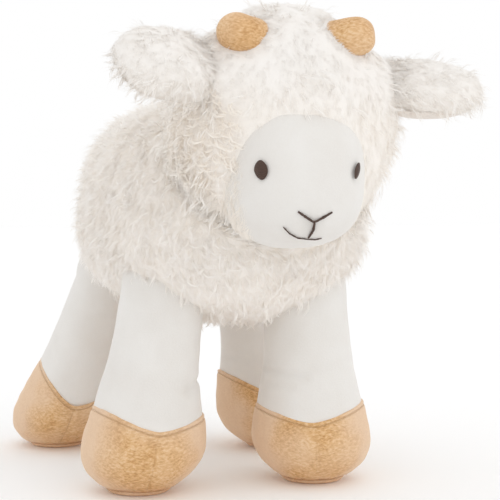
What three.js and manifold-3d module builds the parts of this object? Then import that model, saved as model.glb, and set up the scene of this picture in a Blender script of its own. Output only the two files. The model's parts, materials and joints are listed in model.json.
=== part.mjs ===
// Plush sheep that stands on four stuffed legs: fur body and hood, velour face, legs and ear linings,
// tan velour hooves and horns, all filled with wadding. Millimetres, +Z up, the nose points to -Y.
// The sheep's own right side is -X. The origin ends up under the middle of the sheep, on the floor.
import * as THREE from 'three';
import { mergeVertices } from 'three/addons/utils/BufferGeometryUtils.js';
import Module from 'manifold-3d';

// Clearances and cloth
const seat = 0.3;              // between pieces that lie against each other
const overrun = 20;            // how far a cutter reaches past what it cuts
const furWall = 6;             // backing cloth with the thick lower part of its pile
const velourWall = 2.2;        // short velour of the face, legs, hooves and horns
const swingRoom = 1.2;         // extra room that a swinging limb gets in the fur

// Body
const bodyCentre = [0, 50, 141];
const bodyHalf = [77, 100, 63];
const bodyEndFullness = 2.5;
const bodySectionFullness = 2.1;
const bodyRisingTaperShare = 0.06;

// Head: the fur hood and the smooth face that bulges out of it
const hoodCentre = [0, -39, 184];
const hoodHalf = [58, 48, 57];
const hoodFullness = 2.05;
const faceCentre = [0, -50, 161];
const faceHalf = [34, 45, 38];
const faceFullness = 2.4;
const muzzleDrop = 6;          // how much lower the tip of the face lies than its middle

// Neck: a ball of firm wadding that the head turns and nods on
const neckPivot = [0, -20, 164];
const neckRadius = 40;
const headClearance = 9.2;          // fur kept clear round the head so that it can turn and nod
const headOffset = 7;          // the head is set this far to its left of the body's middle
const headTurn = -6;           // degrees that it looks to its right at rest

// Eyes and sewn nose and mouth, by their places on the face
const eyeSpread = 22.4;        // from the middle of the face to an eye
const eyeDrop = 0.5;           // of the eyes below the middle of the face
const eyeHalf = [2.9, 1.9, 4.6];
const threadRadius = 1.1;
const threadLift = 0.7;        // from the face to the middle of the thread
const noseDrop = 23.5;         // where the three nose stitches meet, below the middle of the face
const noseArm = [8, 4.2];      // sideways and upwards
const noseStem = 7.2;
const mouthReach = [12.5, 4.5]; // how far the mouth line runs to its end, and how far that end rises

// Horns
const hornRoot = [8.5, -54, 219];
const hornTip = [35.5, -72, 225];
const hornRadius = 10;
const hornFullness = 2.7;

// Ears: a leaf of two layers, furry above and smooth below. Angles in degrees.
const earHinge = { left: [49, -51, 202], right: [-43.5, -60, 208] };   // sewn on a little unevenly
const earReach = 48;           // from the hinge to the tip
const earRoot = 10;            // from the hinge into the head
const earHalfWidth = 20;
const earHalfThickness = 14;
const earLiningDepth = 6.5;     // from the middle of the ear down to the seam plane of the lining
const earFullness = 2.25;
const earSweep = { left: 2, right: 31 };    // forward of straight sideways
const earTilt = { left: 30, right: 50 };    // upper side turned forward
const earSwing = 30;

// Legs, from the floor up. Every leg is the same sewn piece, set at its own foot and hip.
const hipHeight = 104;
const hipRadius = 21.5;
const shinHeight = 64;
const shinRadius = 24;
const ankleHeight = 41;
const ankleRadius = 28;
const hoofHeight = 22.5;       // where the hoof is widest
const hoofRadius = 30.8;
const hoofLowHeight = 12;      // below this the hoof draws in to its small sole
const hoofLowRadius = 27.4;
const soleRadius = 15;
const soleThickness = 2.4;
const soleEdgeHeight = 5;
const soleEdgeRadius = 20.5;
const frontHoofTop = { side: 41.4, dip: 33.8 };   // top edge at the sides, and at the front and the back
const rearHoofTop = { side: 48.5, dip: 33.8 };
const hoofDipHalfWidth = 29;
const hoofTiltShare = 0.67;    // how much of the leg's lean the hoof's top edge follows
const stuffingHoleRadius = 11;
const legSwing = { outwards: 12, inwards: 8 };   // away from the other pair of legs, and towards it
const frontLeftFoot = [39.4, 7.2];
const frontLeftHip = [37, 12];
const frontRightFoot = [-55, 8.6];
const frontRightHip = [-41, 12];
const rearLeftFoot = [52, 104.4];
const rearLeftHip = [41, 116];
const rearRightFoot = [-71.4, 148.4];
const rearRightHip = [-44, 118];
// turn is how far the front of a hoof looks to the sheep's right, in degrees.
const legs = [
  { name: 'front_left', foot: frontLeftFoot, hip: frontLeftHip, hoofTop: frontHoofTop, turn: 18 },
  { name: 'front_right', foot: frontRightFoot, hip: frontRightHip, hoofTop: frontHoofTop, turn: 2 },
  { name: 'rear_left', foot: rearLeftFoot, hip: rearLeftHip, hoofTop: rearHoofTop, turn: 10 },
  { name: 'rear_right', foot: rearRightFoot, hip: rearRightHip, hoofTop: rearHoofTop, turn: 5 },
];

// Tail
const tailInset = 3;           // from the body's rear end to the hinge
const tailRise = 29;           // of the hinge above the body's middle
const tailReach = 36;
const tailRoot = 7;
const tailHalfWidth = 11;
const tailHalfThickness = 7;
const tailLiningDepth = 3.5;
const tailHang = 68;           // degrees below level
const tailSwing = 50;

// Places that follow from the sizes
const eyeHeight = faceCentre[2] - eyeDrop;
const noseHeight = faceCentre[2] - noseDrop;
const tailHinge = [bodyCentre[0], bodyCentre[1] + bodyHalf[1] - tailInset, bodyCentre[2] + tailRise];
const halfTurn = 180;          // degrees

// Facets
const around = {
  body: 22, hood: 22, face: 22, inside: 14, ball: 24, limb: 16, small: 12, eye: 10, thread: 6,
};
const sweepSteps = 4;
const along = {
  body: 13, hood: 13, face: 12, inside: 8, ball: 16, limb: 7, dome: 5, small: 7, eye: 6, thread: 6,
};
const bisections = 40;          // halvings that find a place on the face

const wasm = await Module();
wasm.setup();

function solidOf(geometry) {
  const bare = geometry.index ? geometry.clone() : geometry;
  bare.deleteAttribute('normal');
  bare.deleteAttribute('uv');
  const merged = mergeVertices(bare, seat / 1000);
  const mesh = new wasm.Mesh({
    numProp: 3,
    vertProperties: new Float32Array(merged.attributes.position.array),
    triVerts: new Uint32Array(merged.index.array),
  });
  return new wasm.Manifold(mesh);
}

function geometryOf(solid) {
  const mesh = solid.getMesh();
  const geometry = new THREE.BufferGeometry();
  geometry.setAttribute('position', new THREE.BufferAttribute(new Float32Array(mesh.vertProperties), 3));
  geometry.setIndex(new THREE.BufferAttribute(new Uint32Array(mesh.triVerts), 1));
  return geometry;
}

const power = (value, exponent) => Math.sign(value) * Math.abs(value) ** exponent;

// A stuffed form: a unit sphere whose poles lie on Y, made fuller, tapered and stretched to its size.
function softForm(form, grow = 0) {
  const { centre, half, endFullness, sectionFullness, risingTaperShare = 0, drop = 0 } = form;
  const size = half.map((value) => value + grow);
  const geometry = new THREE.SphereGeometry(1, form.around, form.along);
  const places = geometry.attributes.position;
  for (let i = 0; i < places.count; i += 1) {
    const height = THREE.MathUtils.clamp(places.getY(i), -1, 1);
    const ring = Math.sqrt(1 - height * height);
    const turn = Math.atan2(places.getZ(i), places.getX(i));
    const reach = power(ring, 2 / endFullness);
    const x = reach * power(Math.cos(turn), 2 / sectionFullness);
    const z = reach * power(Math.sin(turn), 2 / sectionFullness);
    const y = power(height, 2 / endFullness);
    places.setXYZ(
      i,
      centre[0] + size[0] * x * (1 - risingTaperShare * z),
      centre[1] + size[1] * y,
      centre[2] + size[2] * z + drop * y,
    );
  }
  return solidOf(geometry);
}

const bodyForm = {
  centre: bodyCentre, half: bodyHalf, endFullness: bodyEndFullness, sectionFullness: bodySectionFullness,
  risingTaperShare: bodyRisingTaperShare, around: around.body, along: along.body,
};
const hoodForm = {
  centre: hoodCentre, half: hoodHalf, endFullness: hoodFullness, sectionFullness: hoodFullness,
  around: around.hood, along: along.hood,
};
const faceForm = {
  centre: faceCentre, half: faceHalf, endFullness: faceFullness, sectionFullness: faceFullness,
  drop: muzzleDrop, around: around.face, along: along.face,
};

// How far forward the face reaches at a place seen from the front.
function faceFront(x, z) {
  let near = faceCentre[1] - faceHalf[1];
  let far = faceCentre[1];
  for (let step = 0; step < bisections; step += 1) {
    const y = (near + far) / 2;
    const share = (y - faceCentre[1]) / faceHalf[1];
    const middle = faceCentre[2] + muzzleDrop * share;
    const shares = [x / faceHalf[0], share, (z - middle) / faceHalf[2]];
    const reach = shares.reduce((sum, value) => sum + Math.abs(value) ** faceFullness, 0);
    if (reach > 1) near = y;
    else far = y;
  }
  return far;
}

// The inner side of a cover and the wadding in it have fewer facets.
const inside = (form) => ({ ...form, around: around.inside, along: along.inside });

function ball(centre, radius) {
  return softForm({
    centre, half: [radius, radius, radius], endFullness: 2, sectionFullness: 2,
    around: around.ball, along: along.ball,
  });
}

// The radius of a faceted socket whose flats still clear a faceted ball of the given radius as it turns.
function socketRadius(radius, sides, levels) {
  return (radius + seat) / (Math.cos(Math.PI / sides) * Math.cos(Math.PI / (2 * levels)));
}

function block(low, high) {
  const size = high.map((value, i) => value - low[i]);
  const geometry = new THREE.BoxGeometry(...size);
  geometry.translate(...high.map((value, i) => (value + low[i]) / 2));
  return solidOf(geometry);
}

const joined = (solids) => solids.reduce((sum, next) => sum.add(next));

// A leaf that lies along +X from its root to its tip, with its hinge at the origin.
function leaf({ reach, root, halfWidth, halfThickness, fullness }, grow = 0) {
  return softForm({
    centre: [(reach - root) / 2, 0, 0], half: [(reach + root) / 2, halfWidth, halfThickness],
    endFullness: fullness, sectionFullness: fullness, around: around.small, along: along.small,
  }, grow);
}

// The two layers of a leaf, parted at a level plane below its middle.
function leafLayers(shape, liningDepth) {
  const far = shape.reach + overrun;
  const below = block([-far, -far, -far], [far, far, -liningDepth - seat / 2]);
  const above = block([-far, -far, -liningDepth + seat / 2], [far, far, far]);
  const whole = leaf(shape);
  return { outer: whole.intersect(above), lining: whole.intersect(below) };
}

// Everything that a leaf passes through as it swings on its hinge, with room to spare.
function leafSweep(shape, low, high, place) {
  const grown = leaf(shape, 2 * seat);
  const copies = [];
  for (let i = 0; i <= sweepSteps; i += 1) {
    const angle = low + (high - low) * i / sweepSteps;
    copies.push(moved(grown, place.clone().multiply(turnAboutY(angle))));
  }
  return joined(copies);
}

const turnAboutX = (degrees) => new THREE.Matrix4().makeRotationX(THREE.MathUtils.degToRad(degrees));
const turnAboutY = (degrees) => new THREE.Matrix4().makeRotationY(THREE.MathUtils.degToRad(degrees));
const turnAboutZ = (degrees) => new THREE.Matrix4().makeRotationZ(THREE.MathUtils.degToRad(degrees));
const shift = (place) => new THREE.Matrix4().makeTranslation(...place);

function moved(solid, matrix) {
  return solid.transform(matrix.elements);
}

const earShape = {
  reach: earReach, root: earRoot, halfWidth: earHalfWidth, halfThickness: earHalfThickness,
  fullness: earFullness,
};
const tailShape = {
  reach: tailReach, root: tailRoot, halfWidth: tailHalfWidth, halfThickness: tailHalfThickness,
  fullness: earFullness,
};

function earPlace(side) {
  const sign = side === 'left' ? 1 : -1;
  const heading = side === 'left' ? -earSweep.left : halfTurn + earSweep.right;
  return shift(earHinge[side]).multiply(turnAboutZ(heading)).multiply(turnAboutX(sign * earTilt[side]));
}

const tailPlace = shift(tailHinge).multiply(turnAboutZ(halfTurn / 2)).multiply(turnAboutY(tailHang));

// A leg's outline is one smooth line from the sole to the hip, and a dome round the hip above it.
function legOutline(grow) {
  const line = new THREE.SplineCurve([
    new THREE.Vector2(soleEdgeRadius, soleEdgeHeight),
    new THREE.Vector2(hoofLowRadius, hoofLowHeight),
    new THREE.Vector2(hoofRadius, hoofHeight),
    new THREE.Vector2(ankleRadius, ankleHeight),
    new THREE.Vector2(shinRadius, shinHeight),
    new THREE.Vector2(hipRadius, hipHeight),
  ]);
  const points = line.getPoints(along.limb).map((point) => new THREE.Vector2(point.x + grow, point.y));
  for (let i = 1; i < along.dome; i += 1) {
    const angle = Math.PI / 2 * i / along.dome;
    const radius = hipRadius + grow;
    points.push(new THREE.Vector2(radius * Math.cos(angle), hipHeight + radius * Math.sin(angle)));
  }
  points.push(new THREE.Vector2(0, hipHeight + hipRadius + grow));
  return points;
}

// The middle of a leaning leg at a height.
function legMiddle(leg, height) {
  const level = THREE.MathUtils.clamp((height - soleEdgeHeight) / (hipHeight - soleEdgeHeight), 0, 1);
  return leg.foot.map((value, i) => value + (leg.hip[i] - value) * level);
}

// Slides every level of an upright form so that it stands at the foot and leans over to the hip.
function lean(geometry, leg) {
  const places = geometry.attributes.position;
  for (let i = 0; i < places.count; i += 1) {
    const [x, y] = legMiddle(leg, places.getZ(i));
    places.setXYZ(i, places.getX(i) + x, places.getY(i) + y, places.getZ(i));
  }
  return solidOf(geometry);
}

function revolved(points, sides) {
  const geometry = new THREE.LatheGeometry(points, sides);
  geometry.rotateX(Math.PI / 2);
  return geometry;
}

function legForm(leg, grow = 0) {
  const points = legOutline(grow);
  points.unshift(new THREE.Vector2(soleRadius + grow, -grow));
  points.unshift(new THREE.Vector2(0, -grow));
  return lean(revolved(points, around.limb), leg);
}

// The room a swinging leg needs in the body: its dome, and a skirt that widens below the hip.
function legRoom(leg) {
  const spread = Math.tan(THREE.MathUtils.degToRad(legSwing.outwards));
  const room = socketRadius(hipRadius, around.limb, 2 * along.dome) - hipRadius;
  const shin = new THREE.Vector2(shinRadius + room, shinHeight);
  const points = [shin, ...legOutline(room).filter((point) => point.y > shinHeight)]
    .map((point) => {
      const below = Math.max(0, hipHeight - point.y);
      return new THREE.Vector2(point.x + below * spread + (point.y > hipHeight ? 0 : swingRoom), point.y);
    });
  points.unshift(new THREE.Vector2(0, points[0].y));
  return lean(revolved(points, around.limb), leg);
}

// The hoof's top edge dips in a V at the front and the back of the leg, and tilts with the leg.
function hoofCutter(leg, offset) {
  const shape = new THREE.Shape();
  const wide = hoofDipHalfWidth + overrun;
  const { side, dip } = leg.hoofTop;
  const rise = (side - dip) / hoofDipHalfWidth * wide + offset;
  shape.moveTo(-wide, -dip - wide);
  shape.lineTo(wide, -dip - wide);
  shape.lineTo(wide, rise);
  shape.lineTo(0, offset);
  shape.lineTo(-wide, rise);
  shape.closePath();
  const geometry = new THREE.ExtrudeGeometry(shape, { depth: 2 * wide, bevelEnabled: false });
  geometry.translate(0, 0, -wide);
  geometry.rotateX(Math.PI / 2);
  geometry.rotateZ(-THREE.MathUtils.degToRad(leg.turn));
  const [x, y] = legMiddle(leg, dip);
  const heading = leg.hip.map((value, i) => hoofTiltShare * (value - leg.foot[i]));
  const upright = new THREE.Vector3(...heading, hipHeight - soleEdgeHeight).normalize();
  const tilt = new THREE.Quaternion().setFromUnitVectors(new THREE.Vector3(0, 0, 1), upright);
  const place = new THREE.Matrix4().compose(new THREE.Vector3(x, y, dip), tilt, new THREE.Vector3(1, 1, 1));
  return moved(solidOf(geometry), place);
}

function legPieces(leg) {
  const outer = legForm(leg);
  const inner = legForm(leg, -velourWall);
  const holeTop = hipHeight + hipRadius + overrun;
  const hole = block(
    [leg.hip[0] - stuffingHoleRadius, leg.hip[1] - stuffingHoleRadius, hipHeight],
    [leg.hip[0] + stuffingHoleRadius, leg.hip[1] + stuffingHoleRadius, holeTop],
  );
  const soleRim = soleThickness + seat;
  const reach = hoofRadius + overrun;
  const soleLevel = block([leg.foot[0] - reach, leg.foot[1] - reach, -overrun],
    [leg.foot[0] + reach, leg.foot[1] + reach, soleRim]);
  const shell = outer.subtract(inner).subtract(soleLevel);
  const sole = new THREE.CylinderGeometry(soleRadius, soleRadius, soleThickness, around.limb);
  sole.rotateX(Math.PI / 2);
  sole.translate(leg.foot[0], leg.foot[1], soleThickness / 2);
  return {
    cover: shell.subtract(hoofCutter(leg, seat / 2)).subtract(hole),
    hoof: shell.intersect(hoofCutter(leg, -seat / 2)),
    filling: legForm(leg, -velourWall - seat).subtract(soleLevel),
    sole: solidOf(sole),
  };
}

function hornPieces(sign) {
  const root = new THREE.Vector3(sign * hornRoot[0], hornRoot[1], hornRoot[2]);
  const tip = new THREE.Vector3(sign * hornTip[0], hornTip[1], hornTip[2]);
  const heading = tip.clone().sub(root);
  const half = heading.length() / 2;
  const turn = new THREE.Quaternion();
  turn.setFromUnitVectors(new THREE.Vector3(0, 1, 0), heading.clone().normalize());
  const middle = root.add(tip).multiplyScalar(1 / 2);
  const place = new THREE.Matrix4().compose(middle, turn, new THREE.Vector3(1, 1, 1));
  const form = {
    centre: [0, 0, 0], half: [hornRadius, half, hornRadius], endFullness: hornFullness, sectionFullness: 2,
    around: around.small, along: along.small,
  };
  const hood = softForm(hoodForm, seat);
  const outer = moved(softForm(form), place);
  return {
    cover: outer.subtract(moved(softForm(form, -velourWall), place)).subtract(hood),
    filling: moved(softForm(form, -velourWall - seat), place).subtract(hood),
  };
}

function eyePiece(sign) {
  const x = sign * eyeSpread;
  const lens = softForm({
    centre: [x, faceFront(x, eyeHeight), eyeHeight], half: eyeHalf, endFullness: 2, sectionFullness: 2,
    around: around.eye, along: along.eye,
  });
  return lens.subtract(softForm(faceForm, seat));
}

// A line of thread that lies on the face through the given places, which are sideways and upwards.
function threadOnFace(places) {
  const line = new THREE.SplineCurve(places.map(([x, z]) => new THREE.Vector2(x, z)));
  const onFace = line.getPoints(along.thread)
    .map(({ x, y }) => new THREE.Vector3(x, faceFront(x, y) - threadLift, y));
  const curve = new THREE.CatmullRomCurve3(onFace);
  const section = new THREE.Shape();
  section.absarc(0, 0, threadRadius, 0, 2 * Math.PI);
  const geometry = new THREE.ExtrudeGeometry(section, {
    steps: along.thread, extrudePath: curve, curveSegments: around.thread / 2, bevelEnabled: false,
  });
  return solidOf(geometry);
}

function noseStitches() {
  const [armX, armZ] = noseArm;
  const threads = [
    threadOnFace([[-armX, noseHeight + armZ], [0, noseHeight]]),
    threadOnFace([[armX, noseHeight + armZ], [0, noseHeight]]),
    threadOnFace([[0, noseHeight + threadRadius], [0, noseHeight - noseStem + 2 * threadRadius]]),
  ];
  return joined(threads).subtract(softForm(faceForm, seat));
}

function mouthStitches() {
  const [reach, rise] = mouthReach;
  const low = noseHeight - noseStem - threadRadius;
  const middle = reach / 2;
  const thread = threadOnFace([[-reach, low + rise], [-middle, low + rise / 4], [0, low], [middle, low]]);
  return thread.subtract(softForm(faceForm, seat));
}

// Everything that the two ears pass through.
function earSweeps() {
  return joined(['left', 'right'].map((side) => leafSweep(earShape, -earSwing, earSwing, earPlace(side))));
}

const neckBall = ball(neckPivot, neckRadius);
const neckSocket = ball(neckPivot, socketRadius(neckRadius, around.ball, along.ball));

// Where the head is set on the body at rest.
const pivotPlace = shift(neckPivot);
const headPlace = shift([headOffset, 0, 0]).multiply(pivotPlace).multiply(turnAboutZ(headTurn))
  .multiply(pivotPlace.clone().invert());

// The space that the body leaves for the head. With a wall added it takes in the cover that lines it too.
function headSpace(wall) {
  const space = softForm(hoodForm, headClearance + wall).add(softForm(faceForm, headClearance + wall))
    .add(ball(neckPivot, socketRadius(neckRadius, around.ball, along.ball) + wall));
  return moved(space, headPlace);
}

function headPieces() {
  const ears = earSweeps();
  const hoodInside = softForm(inside(hoodForm), -furWall);
  const filling = softForm(inside(hoodForm), -furWall - seat)
    .add(softForm(inside(faceForm), -velourWall - seat));
  return {
    cover: softForm(hoodForm).subtract(hoodInside).subtract(softForm(faceForm, seat)).subtract(neckSocket)
      .subtract(ears),
    face: softForm(faceForm).subtract(softForm(inside(faceForm), -velourWall))
      .subtract(softForm(inside(hoodForm), -furWall + seat)).subtract(neckSocket),
    filling: filling.subtract(neckSocket).subtract(ears),
  };
}

function bodyPieces() {
  const rooms = joined(legs.map(legRoom)).add(leafSweep(tailShape, -tailSwing, 0, tailPlace));
  const space = headSpace(0);
  const lining = headSpace(furWall);
  return {
    cover: softForm(bodyForm).subtract(space)
      .subtract(softForm(inside(bodyForm), -furWall).subtract(lining)).subtract(rooms),
    filling: softForm(inside(bodyForm), -furWall - seat).subtract(headSpace(furWall + seat)).subtract(rooms),
  };
}

const finish = (color, roughness) => () => new THREE.MeshStandardMaterial({ color, roughness, metalness: 0 });
const fur = finish('#f4eee2', 0.95);
const velour = finish('#faf6f0', 0.85);
const tanVelour = finish('#dbb07c', 0.85);
const brownThread = finish('#3a2418', 0.6);
const wadding = finish('#ffffff', 1);

const sheep = new THREE.Group();

function addPiece(name, solid, material) {
  const mesh = new THREE.Mesh(geometryOf(solid), material());
  mesh.name = name;
  sheep.add(mesh);
}

function addHeadPiece(name, solid, material) {
  addPiece(name, moved(solid, headPlace), material);
}

const body = bodyPieces();
addPiece('body_cover', body.cover, fur);
addPiece('body_filling', body.filling, wadding);
addHeadPiece('neck_filling', neckBall, wadding);

const head = headPieces();
addHeadPiece('head_cover', head.cover, fur);
addHeadPiece('face_panel', head.face, velour);
addHeadPiece('head_filling', head.filling, wadding);

for (const [side, sign] of [['left', 1], ['right', -1]]) {
  const ear = leafLayers(earShape, earLiningDepth);
  const horn = hornPieces(sign);
  addHeadPiece(`ear_outer_${side}`, moved(ear.outer, earPlace(side)), fur);
  addHeadPiece(`ear_lining_${side}`, moved(ear.lining, earPlace(side)), velour);
  addHeadPiece(`horn_cover_${side}`, horn.cover, tanVelour);
  addHeadPiece(`horn_filling_${side}`, horn.filling, wadding);
  addHeadPiece(`eye_${side}`, eyePiece(sign), brownThread);
}
addHeadPiece('nose_stitching', noseStitches(), brownThread);
addHeadPiece('mouth_stitching', mouthStitches(), brownThread);

for (const leg of legs) {
  const pieces = legPieces(leg);
  addPiece(`leg_cover_${leg.name}`, pieces.cover, velour);
  addPiece(`leg_filling_${leg.name}`, pieces.filling, wadding);
  addPiece(`hoof_cover_${leg.name}`, pieces.hoof, tanVelour);
  addPiece(`hoof_sole_${leg.name}`, pieces.sole, tanVelour);
}

const tail = leafLayers(tailShape, tailLiningDepth);
addPiece('tail_outer', moved(tail.outer, tailPlace), fur);
addPiece('tail_lining', moved(tail.lining, tailPlace), velour);

// The whole sheep is set over the origin by its own box.
const reach = new THREE.Box3().setFromObject(sheep);
sheep.position.set(-(reach.min.x + reach.max.x) / 2, -(reach.min.y + reach.max.y) / 2, -reach.min.z);
sheep.updateMatrixWorld(true);

export default sheep;
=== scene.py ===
# %% [markdown]
# # A plush sheep, dressed in fur
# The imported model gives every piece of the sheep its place: body, head, ears, horns, legs and tail.
# Here each of those plain solids gets the cloth that covers the real one: curly fur on the body and
# the hood, smooth velour on the face and the legs, and tan velour on the hooves and the horns.

# %% Load the fixed frame
import json
import math
import random
from collections import namedtuple

import bpy
import numpy as np
from mathutils import Matrix, Vector, noise
from mathutils.bvhtree import BVHTree

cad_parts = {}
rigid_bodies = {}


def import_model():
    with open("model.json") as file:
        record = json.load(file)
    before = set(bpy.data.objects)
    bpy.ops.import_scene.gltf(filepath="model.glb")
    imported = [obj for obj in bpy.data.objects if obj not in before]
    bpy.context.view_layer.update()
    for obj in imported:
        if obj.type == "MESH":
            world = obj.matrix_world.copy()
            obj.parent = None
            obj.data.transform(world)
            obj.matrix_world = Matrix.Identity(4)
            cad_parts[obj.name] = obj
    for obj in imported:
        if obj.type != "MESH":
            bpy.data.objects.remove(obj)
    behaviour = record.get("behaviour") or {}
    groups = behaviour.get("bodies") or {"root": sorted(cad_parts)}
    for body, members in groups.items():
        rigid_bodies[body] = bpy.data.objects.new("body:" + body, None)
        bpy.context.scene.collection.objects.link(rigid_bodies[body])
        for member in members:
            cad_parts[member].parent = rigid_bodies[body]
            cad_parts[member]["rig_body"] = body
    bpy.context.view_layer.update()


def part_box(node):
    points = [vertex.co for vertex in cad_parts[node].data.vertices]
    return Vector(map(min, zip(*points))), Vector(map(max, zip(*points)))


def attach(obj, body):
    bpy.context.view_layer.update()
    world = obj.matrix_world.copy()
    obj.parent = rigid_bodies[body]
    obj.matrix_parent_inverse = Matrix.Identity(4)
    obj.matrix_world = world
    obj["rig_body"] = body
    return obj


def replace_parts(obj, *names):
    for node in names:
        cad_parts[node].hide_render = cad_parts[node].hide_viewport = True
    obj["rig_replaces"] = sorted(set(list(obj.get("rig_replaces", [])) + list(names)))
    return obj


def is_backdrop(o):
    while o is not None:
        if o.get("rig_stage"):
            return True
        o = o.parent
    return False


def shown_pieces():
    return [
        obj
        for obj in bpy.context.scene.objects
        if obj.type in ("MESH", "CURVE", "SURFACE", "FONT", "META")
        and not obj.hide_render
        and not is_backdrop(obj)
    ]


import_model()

mm = 0.001

# %% [markdown]
# ## Where things are
# The sheep's pattern was drawn round its own middle and then slid over the origin. One sole tells how
# far it was slid. The head is set a little to the sheep's left and looks a little to its right, so
# everything on the head is first made straight and then moved by one matrix. Sizes are in millimetres
# where they are written down, and become metres when they are multiplied by mm.


# %% The slide, and the matrix that sets the head
FRONT_LEFT_FOOT = (39.4, 7.2)
NECK = (0, -20, 164)
HEAD_ASIDE, HEAD_TURN = 7, -6


def turn(degrees, axis):
    """A turn about one axis."""
    return Matrix.Rotation(math.radians(degrees), 4, axis)


sole_low, sole_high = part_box("hoof_sole_front_left")
SLIDE = Matrix.Translation(((sole_low.x + sole_high.x) / 2 - FRONT_LEFT_FOOT[0] * mm,
                            (sole_low.y + sole_high.y) / 2 - FRONT_LEFT_FOOT[1] * mm, 0))
SLID = np.array(SLIDE.to_translation())
neck_place = Vector(NECK) * mm
SET_HEAD = (SLIDE @ Matrix.Translation((HEAD_ASIDE * mm, 0, 0)) @ Matrix.Translation(neck_place)
            @ turn(HEAD_TURN, "Z") @ Matrix.Translation(-neck_place))
print("slide in mm:", np.round(SLID / mm, 2))

# %% [markdown]
# ## Moving a mesh's points in code
# A stuffed form is a primitive whose points are moved by a rule. These helpers hand a mesh's points
# over as one array and take them back, which is quick even for many thousands of points.


# %% Helpers for points
def start_clean():
    """Deselects everything, so that an operator acts on the new piece alone."""
    if bpy.context.object and bpy.context.object.mode != "OBJECT":
        bpy.ops.object.mode_set(mode="OBJECT")
    bpy.ops.object.select_all(action="DESELECT")


def points_of(piece):
    """The places of a mesh's points, one row each, in metres."""
    flat = np.empty(len(piece.data.vertices) * 3)
    piece.data.vertices.foreach_get("co", flat)
    return flat.reshape(-1, 3)


def normals_of(piece):
    """The way that the skin faces at each point."""
    flat = np.empty(len(piece.data.vertices) * 3, np.float32)
    piece.data.vertex_normals.foreach_get("vector", flat)
    return flat.reshape(-1, 3).astype(float)


def put_points(piece, places):
    """Gives a mesh's points their new places, in metres."""
    piece.data.vertices.foreach_set("co", np.ascontiguousarray(places, np.float32).ravel())
    piece.data.update()


def moved_by(piece, matrix):
    """Writes a matrix into the mesh, so that the object itself stays at the origin."""
    piece.data.transform(matrix)
    piece.data.update()
    return piece


def wavy(places, size, seed=0.0):
    """A smooth random number from about -1 to 1 for each place. size is the length of a wave."""
    away = Vector((seed * 7.31, seed * 3.17, seed * 5.73))
    return np.array([noise.noise(Vector(place) / size + away) for place in places])


def use_modifier(piece, kind, **settings):
    """Adds a modifier, gives it its settings and applies it."""
    start_clean()
    piece.select_set(True)
    bpy.context.view_layer.objects.active = piece
    modifier = piece.modifiers.new(kind.title(), kind)
    for key, value in settings.items():
        setattr(modifier, key, value)
    bpy.ops.object.modifier_apply(modifier=modifier.name)


def cover(piece, finish, slot, body, *nodes, smooth=True):
    """Gives a finished piece its material and body, and the CAD nodes it stands for. slot is not used."""
    piece.data.materials.clear()
    piece.data.materials.append(finish)
    piece.data.polygons.foreach_set("use_smooth", [smooth] * len(piece.data.polygons))
    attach(piece, body)
    if nodes:
        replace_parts(piece, *nodes)
    print(f"{piece.name}: {len(piece.data.polygons)} faces on {body}")


# %% [markdown]
# ## Node trees as sums
# Materials and the fur are node trees. A `Wire` wraps one socket, and an ordinary sum on wires adds
# the Math nodes that it stands for, so a pattern reads like a formula. A `Desk` adds every other node.


# %% A wire that does sums, and a desk that holds the nodes
def join(tree, value, socket):
    """Links a wire to a socket, or writes a plain value into it."""
    if isinstance(value, Wire):
        tree.links.new(value.socket, socket)
    else:
        socket.default_value = value


class Wire:
    """A socket whose sums add Math nodes."""

    def __init__(self, tree, socket):
        self.tree = tree
        self.socket = socket

    def sum(self, operation, *values):
        node = self.tree.nodes.new("ShaderNodeMath")
        node.operation = operation
        for value, socket in zip(values, node.inputs):
            join(self.tree, value, socket)
        return Wire(self.tree, node.outputs[0])

    def __add__(self, other): return self.sum("ADD", self, other)
    def __radd__(self, other): return self.sum("ADD", other, self)
    def __sub__(self, other): return self.sum("SUBTRACT", self, other)
    def __rsub__(self, other): return self.sum("SUBTRACT", other, self)
    def __mul__(self, other): return self.sum("MULTIPLY", self, other)
    def __rmul__(self, other): return self.sum("MULTIPLY", other, self)
    def __truediv__(self, other): return self.sum("DIVIDE", self, other)
    def lowest(self, other): return self.sum("MINIMUM", self, other)
    def highest(self, other): return self.sum("MAXIMUM", self, other)
    def size(self): return self.sum("ABSOLUTE", self)


class Desk:
    """One node tree. node() adds a node: its kind, its settings, then its values by socket name."""

    def __init__(self, tree):
        self.tree = tree
        tree.nodes.clear()

    def node(self, kind, settings=(), inputs=(), out=0):
        node = self.tree.nodes.new(kind)
        for key, value in dict(settings).items():
            if key == "stops":
                ramp = node.color_ramp
                for stop, (place, colour) in zip_stops(ramp, value):
                    stop.position, stop.color = place, colour
            else:
                setattr(node, key, value)
        for key, value in dict(inputs).items():
            join(self.tree, value, node.inputs[key])
        return Wire(self.tree, node.outputs[out]) if out is not None else node

    def colours(self, share, low, high):
        """Goes from the colour low to the colour high as share goes from 0 to 1."""
        return self.node("ShaderNodeMix", {"data_type": "RGBA"}, {0: share, 6: low, 7: high}, out=2)

    def spread(self, value, low, high):
        """Stretches the range low to high over 0 to 1, and cuts off what is outside."""
        return self.node("ShaderNodeMapRange", {}, {0: value, 1: low, 2: high})

    def mottle(self, place, size, detail, out=0, **more):
        """Noise with spots about size metres wide: a number, or three of them with out=1."""
        return self.node("ShaderNodeTexNoise", {},
                         {"Vector": place, "Scale": 1 / size, "Detail": detail, **more}, out)

    def mark(self, name):
        """The number that the mesh holds under this name at each point."""
        return self.node("ShaderNodeAttribute", {"attribute_name": name}, out=2)


def zip_stops(ramp, stops):
    """Pairs a ramp's stops with the wanted ones, adding stops where it has too few."""
    while len(ramp.elements) < len(stops):
        ramp.elements.new(0.5)
    return zip(ramp.elements, stops)


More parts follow.
